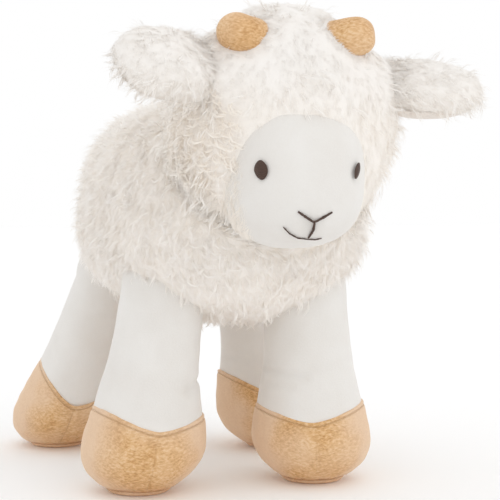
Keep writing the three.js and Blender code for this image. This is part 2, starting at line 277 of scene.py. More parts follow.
def new_finish(name):
    """A material with an empty tree, and the desk on which its nodes are laid."""
    finish = bpy.data.materials.new(name)
    finish.use_nodes = True
    return finish, Desk(finish.node_tree)


def end_finish(desk, values, bump=None, depth=0.0, strength=1.0):
    """Ends a finish in one shader with these values, and a bump from one height."""
    values = dict(values)
    if bump is not None:
        values["Normal"] = desk.node("ShaderNodeBump", {},
                                     {"Strength": strength, "Distance": depth, "Height": bump})
    shader = desk.node("ShaderNodeBsdfPrincipled", {}, values)
    desk.node("ShaderNodeOutputMaterial", {}, {"Surface": shader}, out=None)


# %% [markdown]
# ## The finishes
# Plush is never one flat colour. Fur is painted a little warmer and darker down between its locks than at
# the tips: painted shade deep in the fur. Velour shows where its pile was brushed, and the tan velour of the
# hooves and the horns shows short lines of pile. All of it is made from noise on the object's own
# coordinates, so it stays put in every view.


# %% Curly fur
SHADE_SIZE, STRAND_SIZE = 14 * mm, 1.1 * mm
# Between these heights the hood's fur goes from its painted lighter, warmer cheeks to its painted darker
# crown: painted light and shade.
CHEEK_LEVEL, CROWN_LEVEL = 180 * mm, 208 * mm


def fur_finish(name, deep, pale, low_deep=None, low_pale=None):
    """deep is the colour between the locks, at the blades' roots and on the skin. It is darker and warmer
    than pale,
    the colour of the tips: painted shade down in the fur. Where a second pair is given, it takes over from
    the
    crown down to the cheeks: painted light and shade, which leaves the crown darker and greyer and the
    cheeks lighter and warmer."""
    finish, desk = new_finish(name)
    place = desk.node("ShaderNodeTexCoord", out=3)
    patches = desk.mottle(place, SHADE_SIZE, 3.0)
    strands = desk.mottle(place, STRAND_SIZE, 2.0)
    # From deep at the roots to pale at the tips is painted shade down in the fur; the patches and strands
    # are random tone.
    share = desk.spread(0.62 * desk.mark("tip") + 0.5 * patches + 0.2 * strands, 0.2, 1.0)
    colour = desk.colours(share, deep, pale)
    # From the crown down to the cheeks the second pair takes over: painted light and shade, lighter and
    # warmer below.
    if low_deep:
        height = desk.node("ShaderNodeSeparateXYZ", {}, {"Vector": place}, out=2)
        colour = desk.colours(desk.spread(height, CHEEK_LEVEL, CROWN_LEVEL),
                              desk.colours(share, low_deep, low_pale), colour)
    end_finish(desk, {"Base Color": colour, "Roughness": 0.85 - 0.15 * strands,
                      "Sheen Weight": 0.25, "Sheen Roughness": 0.5},
               bump=strands, depth=0.3 * mm, strength=0.4)
    return finish


CURLY = fur_finish("curly_fur", deep=(0.89, 0.845, 0.79, 1), pale=(0.948, 0.932, 0.912, 1))
# The hood's crown is painted darker and greyer and its cheeks lighter and warmer: painted light and shade.
HOOD_FUR = fur_finish("hood_fur", deep=(0.85, 0.817, 0.78, 1), pale=(0.893, 0.877, 0.857, 1),
                      low_deep=(0.882, 0.835, 0.78, 1), low_pale=(0.928, 0.906, 0.876, 1))
# Darker, warmer fur for the crevice between head and body, below the right ear and round the face: painted
# shade.
PAINTED_SHADE_FUR = fur_finish("painted_shade_fur", deep=(0.90, 0.835, 0.755, 1), pale=(0.955, 0.925, 0.88, 1))


# %% Smooth velour
def velour_finish(name, deep, pale, nap_size, depth):
    """The cloth is deep or pale as it was brushed. depth is how much its nap stands out, in metres."""
    finish, desk = new_finish(name)
    place = desk.node("ShaderNodeTexCoord", out=3)
    brushed = desk.mottle(place, 22 * mm, 4.0)
    nap = desk.mottle(place, nap_size, 3.0, Roughness=0.6)
    share = desk.spread(0.75 * brushed + 0.25 * nap, 0.3, 0.7)
    end_finish(desk, {"Base Color": desk.colours(share, deep, pale), "Roughness": 0.95 - 0.12 * nap,
                      "Sheen Weight": 0.3, "Sheen Roughness": 0.45},
               bump=nap, depth=depth, strength=0.35)
    return finish


VELOUR = velour_finish("velour", deep=(0.735, 0.707, 0.67, 1), pale=(0.79, 0.773, 0.745, 1),
                       nap_size=0.8 * mm, depth=0.25 * mm)
LINING = velour_finish("ear_velour", deep=(0.76, 0.69, 0.63, 1), pale=(0.81, 0.76, 0.71, 1),
                       nap_size=0.8 * mm, depth=0.25 * mm)


# %% Tan velour with lines in its pile
SEAM_BELOW, SEAM_HALF, FRONT_SEAM_HALF = 2.3, 0.55, 0.7


def pile_finish(name, deep, middle, pale, brushed_pale, brushed, sewn=False):
    """The pile's lines go from deep to pale, and brushed says how far brushed_pale covers them where
    the cloth is worn. sewn adds the hoof's seams: one below its top edge and one down its front."""
    finish, desk = new_finish(name)
    place = desk.node("ShaderNodeTexCoord", out=3)
    bent = desk.mottle(place, 9 * mm, 2.0, out=1)
    turned = desk.node("ShaderNodeMix", {"data_type": "VECTOR"}, {0: 0.003, 4: place, 5: bent}, out=1)
    long = desk.node("ShaderNodeMapping", {}, {"Vector": turned, "Rotation": (0.5, 0.3, 0.35),
                                               "Scale": (0.6, 1.0, 1.4)})
    lines = desk.mottle(long, 1.3 * mm, 3.0, Roughness=0.6)
    patches = desk.mottle(place, 15 * mm, 2.0)
    share = desk.spread(0.75 * lines + 0.25 * patches, 0.36, 0.64)
    stops = [(0.0, deep), (0.5, middle), (1.0, pale)]
    colour = desk.node("ShaderNodeValToRGB", {"stops": stops}, {0: share})
    worn = desk.mottle(place, 28 * mm, 1.0)
    smooth = desk.spread(worn, 0.45, 0.68)
    if sewn:
        below, around = desk.mark("below"), desk.mark("around")
        # Farther round from the front seam the pile is made paler and smoother.
        smooth = (0.5 * smooth + desk.spread(around + 16 * worn, 20, 38)).lowest(1.0)
    colour = desk.colours(brushed * smooth, colour, brushed_pale)
    dents = lines * (1.15 - smooth)
    if sewn:
        seam = (1 - ((below - SEAM_BELOW) / SEAM_HALF).size()).highest(0.0)
        front_seam = (1 - around / FRONT_SEAM_HALF).highest(0.0) * desk.spread(below, 1.5, 6)
        seam = seam.highest(front_seam)
        colour = desk.colours(0.38 * seam, colour, deep)
        dents = dents - 1.2 * seam
    end_finish(desk, {"Base Color": colour, "Roughness": 0.9 - 0.15 * lines, "Sheen Weight": 0.35,
                      "Sheen Roughness": 0.4, "Sheen Tint": (1.0, 0.86, 0.7, 1)},
               bump=dents, depth=0.8 * mm, strength=0.6)
    return finish


TAN = pile_finish("horn_velour", deep=(0.54, 0.29, 0.11, 1), middle=(0.70, 0.43, 0.205, 1),
                  pale=(0.80, 0.56, 0.33, 1), brushed_pale=(0.77, 0.57, 0.40, 1), brushed=0.35)
HOOF = pile_finish("tan_velour", deep=(0.52, 0.275, 0.10, 1), middle=(0.69, 0.42, 0.195, 1),
                   pale=(0.80, 0.56, 0.33, 1), brushed_pale=(0.75, 0.555, 0.40, 1), brushed=0.8,
                   sewn=True)


# %% Brown thread, and wadding
def thread_finish():
    """Dark thread, with the twist of its strands as fine slanting bands."""
    finish, desk = new_finish("brown_thread")
    place = desk.node("ShaderNodeTexCoord", out=3)
    strands = desk.node("ShaderNodeTexWave", {"wave_type": "BANDS", "bands_direction": "DIAGONAL"},
                        {"Vector": place, "Scale": 1 / STRAND_SIZE, "Distortion": 2.5, "Detail": 2.0},
                        out=1)
    colour = desk.colours(strands, (0.045, 0.020, 0.011, 1), (0.085, 0.042, 0.026, 1))
    end_finish(desk, {"Base Color": colour, "Roughness": 0.62 - 0.2 * strands, "Sheen Weight": 0.1},
               bump=strands, depth=0.2 * mm, strength=0.5)
    return finish


THREAD = thread_finish()
WADDING = velour_finish("wadding", deep=(0.86, 0.85, 0.83, 1), pale=(0.92, 0.92, 0.91, 1),
                        nap_size=2 * mm, depth=0.8 * mm)
print("finishes:", [finish.name for finish in (CURLY, HOOD_FUR, PAINTED_SHADE_FUR, VELOUR, LINING, TAN, HOOF,
                                               THREAD, WADDING)])


# %% [markdown]
# ## A stuffed form
# Stuffing makes a form fuller than an egg and flatter than a box. The start is an ico sphere, which
# has no poles to pinch. Each of its points is slid in or out along its own ray until it lies on that
# fuller form, and then the form gets its size, taper and place.


# %% The stuffed form
def soft_form(name, centre, half, end, section, rising_taper=0.0, drop=0.0, cuts=6):
    """end and section say how full the form is along Y and across it: 2 is an ellipse, more is fuller."""
    start_clean()
    bpy.ops.mesh.primitive_ico_sphere_add(subdivisions=cuts, radius=1)
    piece = bpy.context.object
    piece.name = piece.data.name = name
    ray = points_of(piece)
    across = np.abs(ray[:, 0]) ** section + np.abs(ray[:, 2]) ** section
    ray *= ((across ** (end / section) + np.abs(ray[:, 1]) ** end) ** (-1 / end))[:, None]
    x = centre[0] + half[0] * ray[:, 0] * (1 - rising_taper * ray[:, 2])
    y = centre[1] + half[1] * ray[:, 1]
    z = centre[2] + half[2] * ray[:, 2] + drop * ray[:, 1]
    put_points(piece, np.stack([x, y, z], 1) * mm)
    return piece


def swell(piece, *waves):
    """Moves each point in or out along its normal. A wave is (size, height, seed), in metres."""
    places = points_of(piece)
    out = sum(height * wavy(places, size, seed) for size, height, seed in waves)
    put_points(piece, places + normals_of(piece) * out[:, None])


def press(piece, path, width, depth):
    """Presses a soft groove along a path of places. A depth below zero raises a mound."""
    places = points_of(piece)
    away = np.full(len(places), np.inf)
    for start, end in zip(path, path[1:]):
        start, line = np.array(start), np.array(end) - np.array(start)
        share = np.clip((places - start) @ line / max(line @ line, 1e-12), 0, 1)
        away = np.minimum(away, np.linalg.norm(places - start - share[:, None] * line, axis=1))
    put_points(piece, places - normals_of(piece) * (depth * np.exp(-(away / width) ** 2))[:, None])


# %% [markdown]
# ## Body
# The real body is one fur bag, and the head is sewn into a hollow at its front. The skin lies a few
# millimetres inside the fur's outline, because the fur grown on it later reaches out to the outline.

# %% Body skin with the hollow for the head
BODY_MIDDLE, BODY_HALF, BODY_SKIN = (0, 50, 141), (77, 100, 63), 5
HOOD_MIDDLE, HOOD_HALF, HOOD_FULL = (0, -39, 184), (58, 48, 57), 2.05
FACE_MIDDLE, FACE_HALF, FACE_FULL, FACE_DROP = (0, -50, 161), (34, 45, 38), 2.4, 6
ROOM_SKIN = 1
body_wool = soft_form("body_wool", BODY_MIDDLE, [half - BODY_SKIN for half in BODY_HALF],
                      2.5, 2.1, rising_taper=0.06)
places = points_of(body_wool) / mm
high = np.clip((places[:, 2] - 150) / 25, 0, 1) * np.clip(np.abs(places[:, 0]) / 40, 0, 1)
near_side = np.clip(-places[:, 0] / 30, 0, 1)
low_chest = np.clip((places[:, 0] - 30) / 30, 0, 1) * np.clip((40 - places[:, 1]) / 40, 0, 1)
grown = 1 + 0.05 * high + 0.05 * high * near_side - 0.01 * low_chest
middle = np.array([BODY_MIDDLE[0], BODY_MIDDLE[2]])
places[:, (0, 2)] = middle + (places[:, (0, 2)] - middle) * grown[:, None]
put_points(body_wool, places * mm)
for name, centre, half, full, drop in (("hood_room", HOOD_MIDDLE, HOOD_HALF, HOOD_FULL, 0),
                                       ("face_room", FACE_MIDDLE, FACE_HALF, FACE_FULL, FACE_DROP)):
    room = soft_form(name, centre, [value - ROOM_SKIN for value in half], full, full, drop=drop, cuts=5)
    moved_by(room, SLIDE.inverted() @ SET_HEAD)
    use_modifier(body_wool, "BOOLEAN", operation="DIFFERENCE", solver="EXACT", object=room)
    bpy.data.objects.remove(room)
moved_by(body_wool, SLIDE)
swell(body_wool, (42 * mm, 2.0 * mm, 1), (15 * mm, 1.6 * mm, 2), (7 * mm, 1.1 * mm, 3))
cover(body_wool, CURLY, "curly_fur", "body", "body_cover", "body_filling")

# %% [markdown]
# ## Neck
# Inside the hollow sits a ball of firm wadding, on which the head turns and nods.

# %% Neck wadding
neck_wadding = soft_form("neck_wadding", NECK, (38, 38, 38), 2, 2, cuts=5)
moved_by(neck_wadding, SET_HEAD)
swell(neck_wadding, (16 * mm, 1.5 * mm, 4))
cover(neck_wadding, WADDING, "wadding", "neck", "neck_filling")

# %% [markdown]
# ## Hood
# The hood is fur cloth with a shorter pile. It stands up a little at the crown, and beside each ear the
# stuffing pushes it out into a low mound.

# %% Hood skin
HOOD_SKIN, CROWN_RISE = 2.5, 3
# Each mound: its path over the straight head, its width and its height.
MOUNDS = (([(-40, -59, 218), (-41, -66, 210), (-39, -72, 200)], 10, 5.5),
          ([(47, -56, 211), (47, -66, 200)], 9, 3.5))
hood = soft_form("hood", HOOD_MIDDLE, [half - HOOD_SKIN for half in HOOD_HALF], HOOD_FULL, HOOD_FULL)
places = points_of(hood) / mm
crown = np.clip((places[:, 2] - 205) / 25, 0, 1) * np.clip((30 - np.abs(places[:, 0])) / 12, 0, 1)
places[:, 2] += CROWN_RISE * crown
put_points(hood, places * mm)
moved_by(hood, SET_HEAD)
for mound, width, height in MOUNDS:
    press(hood, [SET_HEAD @ (Vector(place) * mm) for place in mound], width * mm, -height * mm)
swell(hood, (34 * mm, 1.4 * mm, 5), (12 * mm, 0.8 * mm, 6), (5 * mm, 0.4 * mm, 7))
cover(hood, HOOD_FUR, "curly_fur", "head", "head_cover", "head_filling")

# %% [markdown]
# ## Face
# The face is one panel of smooth velour that bulges out of the hood. The stitches of the eyes, nose
# and mouth pull the velour in, so each gets a shallow dimple.

# %% Face
EYE_HEIGHT = 160.5
face = soft_form("face", FACE_MIDDLE, FACE_HALF, FACE_FULL, FACE_FULL, drop=FACE_DROP)
places = points_of(face)
chin, brow = np.clip(158 * mm - places[:, 2], 0, 1), np.clip(places[:, 2] - 161 * mm, 0, 1)
places[:, 2] += 0.075 * chin + 0.08 * brow
put_points(face, places)
FACE_FRONT = BVHTree.FromPolygons([tuple(p) for p in points_of(face)],
                                  [tuple(p.vertices) for p in face.data.polygons])


def on_face(x, z, lift=0.0):
    """The place on the face's front at x and z in mm, in the straight head, lifted off it by lift."""
    place, normal, _, _ = FACE_FRONT.ray_cast(Vector((x, -200, z)) * mm, Vector((0, 1, 0)))
    return place + normal * lift


# Where each dimple is, and how wide and deep.
DIMPLES = ((22.4, EYE_HEIGHT, 6, 1.2), (-22.4, EYE_HEIGHT, 6, 1.2), (0, 136, 5, 0.9))
for x, z, width, depth in DIMPLES:
    place = on_face(x, z)
    press(face, [place, place], width * mm, depth * mm)
moved_by(face, SET_HEAD)
swell(face, (26 * mm, 0.7 * mm, 8))
cover(face, VELOUR, "velour", "head", "face_panel")

# %% [markdown]
# ## Eyes, nose and mouth
# The eyes are ovals of satin stitch: threads laid side by side over a little padding. The nose is
# three stitches that meet in a Y, and the mouth is one thin line of thread.


# %% A thread
def strand(name, places, radii):
    """A closed thread through the places, each with its own thickness, in the straight head."""
    start_clean()
    bpy.ops.curve.primitive_nurbs_path_add()
    piece = bpy.context.object
    piece.name = name
    piece.data.splines.clear()
    spline = piece.data.splines.new("POLY")
    spline.points.add(len(places) - 1)
    for point, place, radius in zip(spline.points, places, radii):
        point.co, point.radius = (*place, 1), radius
    piece.data.bevel_depth, piece.data.bevel_resolution = 1.0, 2
    piece.data.use_fill_caps = True
    bpy.ops.object.convert(target="MESH")
    return bpy.context.object


def joined(name, parts):
    """Makes one piece of the parts."""
    start_clean()
    for part in parts:
        part.select_set(True)
    bpy.context.view_layer.objects.active = parts[0]
    if len(parts) > 1:
        bpy.ops.object.join()
    parts[0].name = parts[0].data.name = name
    return parts[0]


# %% Eyes
EYE_ROWS, THREAD_THICK = 26, 0.26


def make_eye(side, x, half_width, half_height, slant):
    """Level threads from the bottom of the eye to its top, padded out most in the middle."""
    threads = []
    for i in range(EYE_ROWS):
        rise = -1 + 2 * (i + 0.5) / EYE_ROWS
        half = half_width * (1 - abs(rise) ** 1.7) ** 0.62 + 0.1
        middle = x + slant * rise
        line = [on_face(middle + half * t, EYE_HEIGHT + half_height * rise,
                        (0.2 + 0.6 * (1 - t * t) * (1 - rise * rise)) * mm)
                for t in np.linspace(-1, 1, 9)]
        threads.append(strand(f"eye_thread_{i}", line, [THREAD_THICK * mm] * len(line)))
    eye = joined(f"eye_threads_{side}", threads)
    moved_by(eye, SET_HEAD)
    cover(eye, THREAD, "brown_thread", "head", f"eye_{side}")


make_eye("left", x=22.9, half_width=1.45, half_height=3.6, slant=1.2)
make_eye("right", x=-21.7, half_width=2.4, half_height=4.3, slant=-0.25)


# %% Nose and mouth
STITCH_LIFT = 0.35


def stitch(name, places, thick, uneven):
    """One stitch along the places on the face. uneven says how much its thickness wavers."""
    count = 6 * (len(places) - 1) + 1
    along, knots = np.linspace(0, 1, count), np.linspace(0, 1, len(places))
    x = np.interp(along, knots, [place[0] for place in places])
    z = np.interp(along, knots, [place[1] for place in places])
    radii = [thick * mm * (0.55 + 0.45 * math.sin(math.pi * (i + 0.5) / count) ** 0.5)
             * (1 + uneven * noise.noise(Vector((i * 0.9, z[0], x[0])))) for i in range(count)]
    return strand(name, [on_face(a, b, STITCH_LIFT * mm) for a, b in zip(x, z)], radii)


nose = joined("nose_stitches", [
    stitch("nose_left", [(9.6, 141.9), (5.6, 139.6), (1.9, 137.5)], 0.55, 0.35),
    stitch("nose_right", [(-6.2, 142.1), (-2.2, 139.6), (1.4, 137.5)], 0.58, 0.35),
    stitch("nose_stem", [(1.8, 138), (2.0, 134), (0.9, 130.5)], 0.62, 0.35),
])
mouth = joined("mouth_stitches", [
    stitch("mouth_right", [(-11.6, 135.4), (-8.2, 132.4), (-4, 130.4), (1.2, 129.8)], 0.36, 0.5),
    stitch("mouth_left", [(0.8, 129.8), (4.4, 129.6), (7.4, 130.2)], 0.3, 0.5),
])
for stitches, node in ((nose, "nose_stitching"), (mouth, "mouth_stitching")):
    moved_by(stitches, SET_HEAD)
    cover(stitches, THREAD, "brown_thread", "head", node)

# %% [markdown]
# ## Ears and tail
# An ear is two leaves sewn together: fur on its upper side and smooth velour below. The tail is made
# the same way, and smaller. A leaf is a flat stuffed form, cut in two by a level plane.


# %% A layer of a leaf
LEAF_FULL = 2.25


def leaf_layer(name, reach, root, width, thick, plane, keep_above, place):
    """The leaf lies along X from root behind its hinge to reach, and only one side of plane is kept."""
    piece = soft_form(name, ((reach - root) / 2, 0, 0), ((reach + root) / 2, width, thick),
                      LEAF_FULL, LEAF_FULL, cuts=5)
    bpy.ops.object.mode_set(mode="EDIT")
    bpy.ops.mesh.select_all(action="SELECT")
    bpy.ops.mesh.bisect(plane_co=(0, 0, plane * mm), plane_no=(0, 0, 1), use_fill=True,
                        clear_inner=keep_above, clear_outer=not keep_above)
    bpy.ops.object.mode_set(mode="OBJECT")
    return moved_by(piece, place)


# %% Ears
Ear = namedtuple("Ear", "hinge heading tilt width hang comb_out")
EARS = {
    "left": Ear(hinge=(49, -51, 202), heading=-2, tilt=30, width=18.5, hang=14.2, comb_out=0.8),
    "right": Ear(hinge=(-43.5, -60, 208), heading=211, tilt=-50, width=20, hang=12.4, comb_out=-0.6),
}
EAR_REACH, EAR_ROOT, EAR_THICK = 47.5, 9, 11.5
for side, ear in EARS.items():
    place = (SET_HEAD @ Matrix.Translation(Vector(ear.hinge) * mm) @ turn(ear.heading, "Z")
             @ turn(ear.tilt, "X"))
    outer = leaf_layer(f"ear_wool_{side}", EAR_REACH, EAR_ROOT, ear.width, EAR_THICK, -6, True, place)
    swell(outer, (16 * mm, 1.2 * mm, 9), (5 * mm, 0.5 * mm, 10))
    cover(outer, HOOD_FUR, "curly_fur", f"ear_{side}", f"ear_outer_{side}")
    lining = leaf_layer(f"ear_velour_{side}", EAR_REACH - 0.3, EAR_ROOT, ear.width - 0.8, ear.hang,
                        -5.2, False, place)
    swell(lining, (14 * mm, 0.8 * mm, 11))
    cover(lining, LINING, "velour", f"ear_{side}", f"ear_lining_{side}")

# %% Tail
TAIL_HINGE = (0, 147, 170)
tail_place = SLIDE @ Matrix.Translation(Vector(TAIL_HINGE) * mm) @ turn(90, "Z") @ turn(68, "Y")
tail = leaf_layer("tail_wool", 33, 6, 9, 5.5, -3.2, True, tail_place)
swell(tail, (12 * mm, 0.9 * mm, 12))
cover(tail, CURLY, "curly_fur", "tail", "tail_outer")
tail_velour = leaf_layer("tail_velour", 34, 6, 10, 6.6, -2.8, False, tail_place)
cover(tail_velour, VELOUR, "velour", "tail", "tail_lining")

# %% [markdown]
# ## Horns
# Two short blunt horns of tan velour, stuffed firmly. Each is a rounded cylinder that is laid from its
# root in the hood to its tip.

# %% Horns
HORN_RADIUS = 10
HORN_ENDS = {"left": ((8.5, -54, 219), (35.5, -72, 225)), "right": ((-8.5, -54, 219), (-35.5, -72, 225))}
for side, seed in (("left", 14), ("right", 12)):
    root, tip = (Vector(end) for end in HORN_ENDS[side])
    half = (tip - root).length / 2
    horn = soft_form(f"horn_{side}", (0, 0, 0), (HORN_RADIUS, half, HORN_RADIUS), 2.7, 2, cuts=5)
    swell(horn, (9 * mm, 0.7 * mm, seed))
    turned = Vector((0, 1, 0)).rotation_difference(tip - root).to_matrix().to_4x4()
    moved_by(horn, SET_HEAD @ Matrix.Translation((root + tip) / 2 * mm) @ turned)
    cover(horn, TAN, "tan_velour", "head", f"horn_cover_{side}", f"horn_filling_{side}")

# %% [markdown]
# ## Legs and hooves
# A leg is one tube of velour that widens down into the hoof. The hoof is a cap of tan velour over its
# end, whose top edge dips in a V at the front and the back. A sphere's rings are slid to new heights
# and widths, which keeps both ends closed. Where the stuffing gives way, the velour creases above the
# hoof.

# %% The outline of a leg
HEIGHTS = np.array([-1, 2.4, 5, 12, 22.5, 41, 64, 104, 140], float)
RADII = np.array([12, 16.2, 20.5, 27.4, 30.8, 28, 24, 21.5, 19], float)
FOOT_LEVEL, LEG_RISE = 5, 99
# Where each leg's foot and hip are, seen from above.
LEGS = {
    "front_left": np.array((FRONT_LEFT_FOOT, (37, 12))),
    "front_right": np.array(((-55, 8.6), (-41, 12))),
    "rear_left": np.array(((52, 104.4), (41, 116))),
    "rear_right": np.array(((-71.4, 148.4), (-44, 118))),
}
print("legs:", list(LEGS))


def leg_radius(height):
    """The leg's radius at a height, on a smooth line through the measured ones. Both in mm."""
    height = np.asarray(height, float)
    k = np.clip(np.searchsorted(HEIGHTS, height, side="right") - 1, 1, len(HEIGHTS) - 3)
    h0, h1 = HEIGHTS[k], HEIGHTS[k + 1]
    t = np.clip((height - h0) / (h1 - h0), 0, 1)
    rise0 = (RADII[k + 1] - RADII[k - 1]) / (h1 - HEIGHTS[k - 1]) * (h1 - h0)
    rise1 = (RADII[k + 2] - RADII[k]) / (HEIGHTS[k + 2] - h0) * (h1 - h0)
    return ((2 * t**3 - 3 * t**2 + 1) * RADII[k] + (t**3 - 2 * t**2 + t) * rise0
            + (3 * t**2 - 2 * t**3) * RADII[k + 1] + (t**3 - t**2) * rise1)


SORT_FROM = (3, 2, 1.4)


def sort_by_distance():
    """Numbers the points and faces of the new sphere by their distance from one place. Its own order
    changes from run to run, and fur is later scattered in the order of the faces."""
    bpy.context.scene.cursor.location = SORT_FROM
    bpy.ops.object.mode_set(mode="EDIT")
    bpy.ops.mesh.select_all(action="SELECT")
    bpy.ops.mesh.sort_elements(type="CURSOR_DISTANCE", elements={"VERT", "EDGE", "FACE"})
    bpy.ops.object.mode_set(mode="OBJECT")
    bpy.context.scene.cursor.location = (0, 0, 0)


def ring_form(name, segments, rings, rule):
    """A sphere whose rings follow a rule, which turns a point's share of the way up and its angle into
    its radius and height in mm."""
    start_clean()
    bpy.ops.mesh.primitive_uv_sphere_add(segments=segments, ring_count=rings, radius=1)
    sort_by_distance()
    piece = bpy.context.object
    piece.name = piece.data.name = name
    places = points_of(piece)
    up = 1 - np.arccos(np.clip(places[:, 2], -1, 1)) / math.pi
    angle = np.arctan2(places[:, 1], places[:, 0])
    radius, height = rule(up, angle)
    put_points(piece, np.stack([radius * np.cos(angle), radius * np.sin(angle), height], 1) * mm)
    return piece


def lean(piece, leg):
    """Stands the form at the leg's foot and slides its levels over to the hip."""
    foot, hip = LEGS[leg]
    places = points_of(piece) / mm
    share = np.clip((places[:, 2] - FOOT_LEVEL) / LEG_RISE, 0, 1)[:, None]
    places[:, :2] += foot + (hip - foot) * share
    put_points(piece, places * mm)
    return moved_by(piece, SLIDE)


# %% The rule of a leg
LEG_LOW, LEG_HIGH, DOME_FROM, DOME_RISE = 8, 122, 104, 21.5
END_SHARE = 0.06


def leg_rule(up, angle):
    """The leg runs from inside the hoof up to a dome inside the body."""
    height = LEG_LOW + (LEG_HIGH - LEG_LOW) * np.clip((up - END_SHARE) / 0.88, 0, 1)
    radius = leg_radius(height) - 0.2 - 1.4 * np.clip((30 - height) / 4, 0, 1)
    dome = np.sqrt(np.clip(1 - np.clip((height - DOME_FROM) / DOME_RISE, 0, 1) ** 2, 0, 1))
    ends = np.clip(np.minimum(up, 1 - up) / END_SHARE, 0, 1)
    return radius * dome * ends, height


def on_leg(leg, degrees, height):
    """The place on a leg's skin at an angle from +X and a height in mm."""
    foot, hip = LEGS[leg]
    angle = math.radians(degrees)
    middle = foot + (hip - foot) * (height - FOOT_LEVEL) / LEG_RISE
    spot = middle + float(leg_radius(height)) * np.array([math.cos(angle), math.sin(angle)])
    return SLIDE @ (Vector((*spot, height)) * mm)


# %% Legs
def make_leg(leg, creases):
    """A crease goes from one angle and height to another, with its width and depth in mm."""
    skin = lean(ring_form(f"leg_{leg}", 80, 90, leg_rule), leg)
    for start, end, width, depth in creases:
        path = [on_leg(leg, *(np.array(start) + share * (np.array(end) - np.array(start))))
                for share in np.linspace(0, 1, 8)]
        press(skin, path, width * mm, depth * mm)
    swell(skin, (30 * mm, 0.9 * mm, 20 + len(leg)), (11 * mm, 0.35 * mm, 21))
    cover(skin, VELOUR, "velour", f"leg_{leg}", f"leg_cover_{leg}", f"leg_filling_{leg}")


CREASES = {
    "front_left": [((178, 60), (244, 57), 2.0, 1.7), ((190, 54), (228, 53), 2.6, 0.8)],
    "front_right": [((-4, 57), (-58, 52), 2.2, 1.6), ((-120, 66), (-165, 60), 6.0, 0.8)],
    "rear_left": [((170, 58), (230, 55), 3.0, 1.0)],
    "rear_right": [((-10, 60), (-75, 54), 3.0, 1.2)],
}
for leg_name in LEGS:
    make_leg(leg_name, CREASES[leg_name])


# %% The top edge of a hoof
HOOF_DIP, ROUND_V, EDGE_RADIUS = 33.8, 0.16, 29
# How high each top edge is at the sides, and how far round its V is turned, in degrees.
TOPS = {"front_left": (41.4, 18), "front_right": (41.4, 2), "rear_left": (48.5, 10), "rear_right": (48.5, 5)}


def hoof_top(leg, angle):
    """The height of the hoof's top edge round the leg. It has a V at the front and the back, and tilts
    as the leg leans."""
    side, turned = TOPS[leg]
    foot, hip = LEGS[leg]
    lean_x, lean_y = 0.67 * (hip - foot) / LEG_RISE
    share = (np.sqrt(np.cos(angle + math.radians(turned)) ** 2 + ROUND_V**2) - ROUND_V) / (1 - ROUND_V)
    tilt = EDGE_RADIUS * (lean_x * np.cos(angle) + lean_y * np.sin(angle))
    return HOOF_DIP + (side - HOOF_DIP) * share - tilt


# %% The rules of a hoof and its sole
HOOF_LOW, HOOF_RADIUS, HOOF_END = 2.9, 28, 0.12


def front_of(leg):
    """The angle of the hoof's front, where its upright seam is."""
    return -math.pi / 2 - math.radians(TOPS[leg][1])


def hoof_rule(leg):
    """The wall stands a little proud of the leg, and both seams are pressed into it."""
    facing = front_of(leg)

    def rule(up, angle):
        top = hoof_top(leg, angle)
        wall = np.clip((up - HOOF_END) / 0.76, 0, 1)
        height = HOOF_LOW + (top - HOOF_LOW) * wall ** 1.3
        seam = np.exp(-((top - height - 2.2) / 0.7) ** 2)
        proud = 0.8 * np.clip(wall / 0.04, 0, 1) * np.clip((top - height) / 1.2, 0.3, 1) - 0.45 * seam
        front = np.exp(-((angle - facing) * HOOF_RADIUS / 1.3) ** 2) * np.clip((height - 6) / 6, 0, 1)
        front = front * np.clip((top - 3 - height) / 5, 0, 1)
        radius = leg_radius(height) + proud - 0.9 * front
        low, high = np.clip(up / HOOF_END, 0, 1), np.clip((1 - up) / HOOF_END, 0, 1)
        height = np.where(up < HOOF_END, HOOF_LOW + 0.8 * (1 - low), height)
        height = np.where(up > 1 - HOOF_END, top - 6 * (1 - high), height)
        return radius * np.minimum(low, high), height

    return rule


def sole_rule(up, angle):
    """A thin disc whose edge rolls up to the hoof."""
    shares = [0, 0.3, 0.42, 0.55, 0.7, 1]
    radius = np.interp(up, shares, [0, 12.5, 15.2, 16.6, 15.8, 0])
    height = np.interp(up, shares, [0, 0, 0.4, 1.7, 2.7, 2.8])
    return radius, height


# %% Hooves and soles
def write_value(piece, name, values):
    """Gives every point of a piece a value that its finish or its fur reads."""
    kind, field = ("FLOAT_VECTOR", "vector") if values.ndim == 2 else ("FLOAT", "value")
    held = piece.data.attributes.get(name) or piece.data.attributes.new(name, kind, "POINT")
    held.data.foreach_set(field, np.ascontiguousarray(values, np.float32).ravel())


def mark_seams(hoof, leg):
    """Writes how far each point is below the top edge and round from the front seam, in mm."""
    places = points_of(hoof) / mm
    angle = np.arctan2(places[:, 1], places[:, 0])
    write_value(hoof, "below", hoof_top(leg, angle) - places[:, 2])
    around = (angle - front_of(leg) + math.pi) % math.tau - math.pi
    write_value(hoof, "around", HOOF_RADIUS * np.abs(around))


AWAY_FROM_SEAM = 25.0
for leg_name in LEGS:
    hoof = ring_form(f"hoof_{leg_name}", 128, 96, hoof_rule(leg_name))
    mark_seams(hoof, leg_name)
    lean(hoof, leg_name)
    swell(hoof, (24 * mm, 0.6 * mm, 30 + len(leg_name)), (6 * mm, 0.3 * mm, 31))
    cover(hoof, HOOF, "tan_velour", f"leg_{leg_name}", f"hoof_cover_{leg_name}")
    sole = lean(ring_form(f"sole_{leg_name}", 64, 24, sole_rule), leg_name)
    write_value(sole, "around", np.full(len(sole.data.vertices), AWAY_FROM_SEAM))
    cover(sole, HOOF, "tan_velour", f"leg_{leg_name}", f"hoof_sole_{leg_name}")

# %% [markdown]
# ## Fur
# Fur this long can't be painted on: its ragged outline and its locks are what the eye looks for. It
# is grown as real tufts. A few small tufts are modelled first, each a handful of thin flat blades that
# draw together towards their tips, and Geometry Nodes sets thousands of copies of them on the skins. A
# straight blade is one long cone of three sides, and only the few wisps and curls are cut across, so
# that they can bend: this keeps the count of triangles low.


